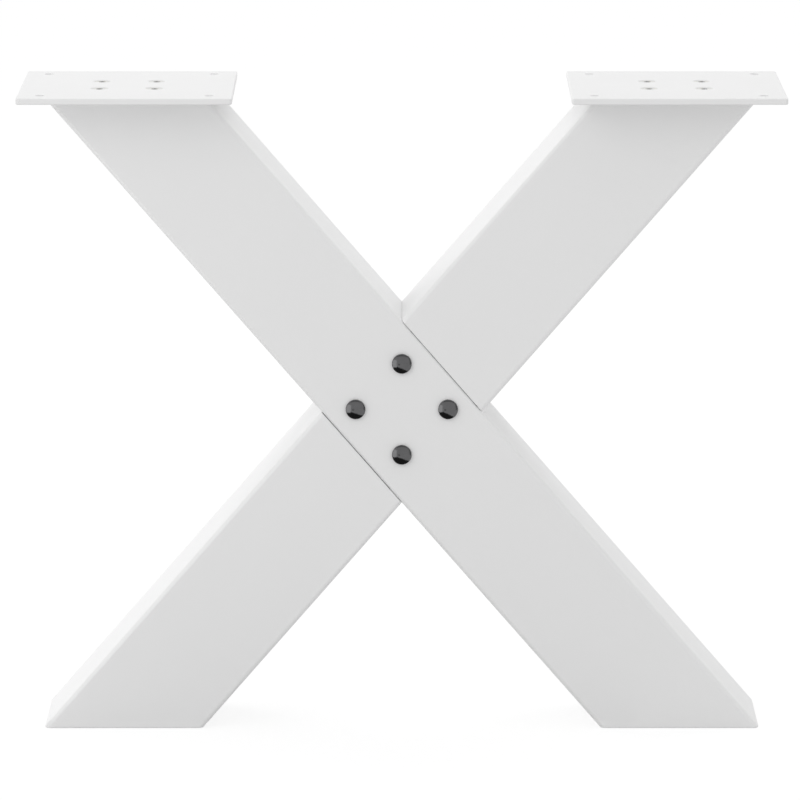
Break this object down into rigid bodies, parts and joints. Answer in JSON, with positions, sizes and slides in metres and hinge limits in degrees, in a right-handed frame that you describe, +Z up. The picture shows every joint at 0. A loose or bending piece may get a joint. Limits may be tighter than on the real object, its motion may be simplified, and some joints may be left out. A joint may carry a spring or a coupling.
{
  "type": "x shaped table leg",
  "caption": "Steel table leg in the shape of an X, from square tube with a bolted crossing, flat top plates with screw holes and level closed feet.",
  "frame": {"origin": "on the floor, under the middle of the leg's bounding box", "axes": "+Z up, X along the width of the X, front with the bolt heads facing -Y"},
  "size_m": [0.5, 0.14, 0.425],
  "materials": {
    "powder_coat": "fine white powder coat, satin",
    "black_bolt": "gloss black nickel plating",
    "zinc_steel": "bright zinc plating",
    "bare_steel": "rolled steel, lightly oiled"
  },
  "bodies": {
    "root": {"full_leg": "powder_coat", "upper_half_leg": "powder_coat", "lower_half_leg": "powder_coat", "left_top_plate": "powder_coat", "right_top_plate": "powder_coat", "left_foot_plate": "powder_coat", "right_foot_plate": "powder_coat", "upper_joint_plate": "powder_coat", "lower_joint_plate": "powder_coat", "left_head_plate": "bare_steel", "right_head_plate": "bare_steel", "upper_tongue": "bare_steel", "lower_tongue": "bare_steel", "joint_bolt_top": "black_bolt", "joint_bolt_right": "black_bolt", "joint_bolt_bottom": "black_bolt", "joint_bolt_left": "black_bolt", "weld_nut_top": "zinc_steel", "weld_nut_right": "zinc_steel", "weld_nut_bottom": "zinc_steel", "weld_nut_left": "zinc_steel", "left_plate_screw_1": "zinc_steel", "left_plate_screw_2": "zinc_steel", "left_plate_screw_3": "zinc_steel", "left_plate_screw_4": "zinc_steel", "right_plate_screw_1": "zinc_steel", "right_plate_screw_2": "zinc_steel", "right_plate_screw_3": "zinc_steel", "right_plate_screw_4": "zinc_steel"}
  },
  "joints": []
}
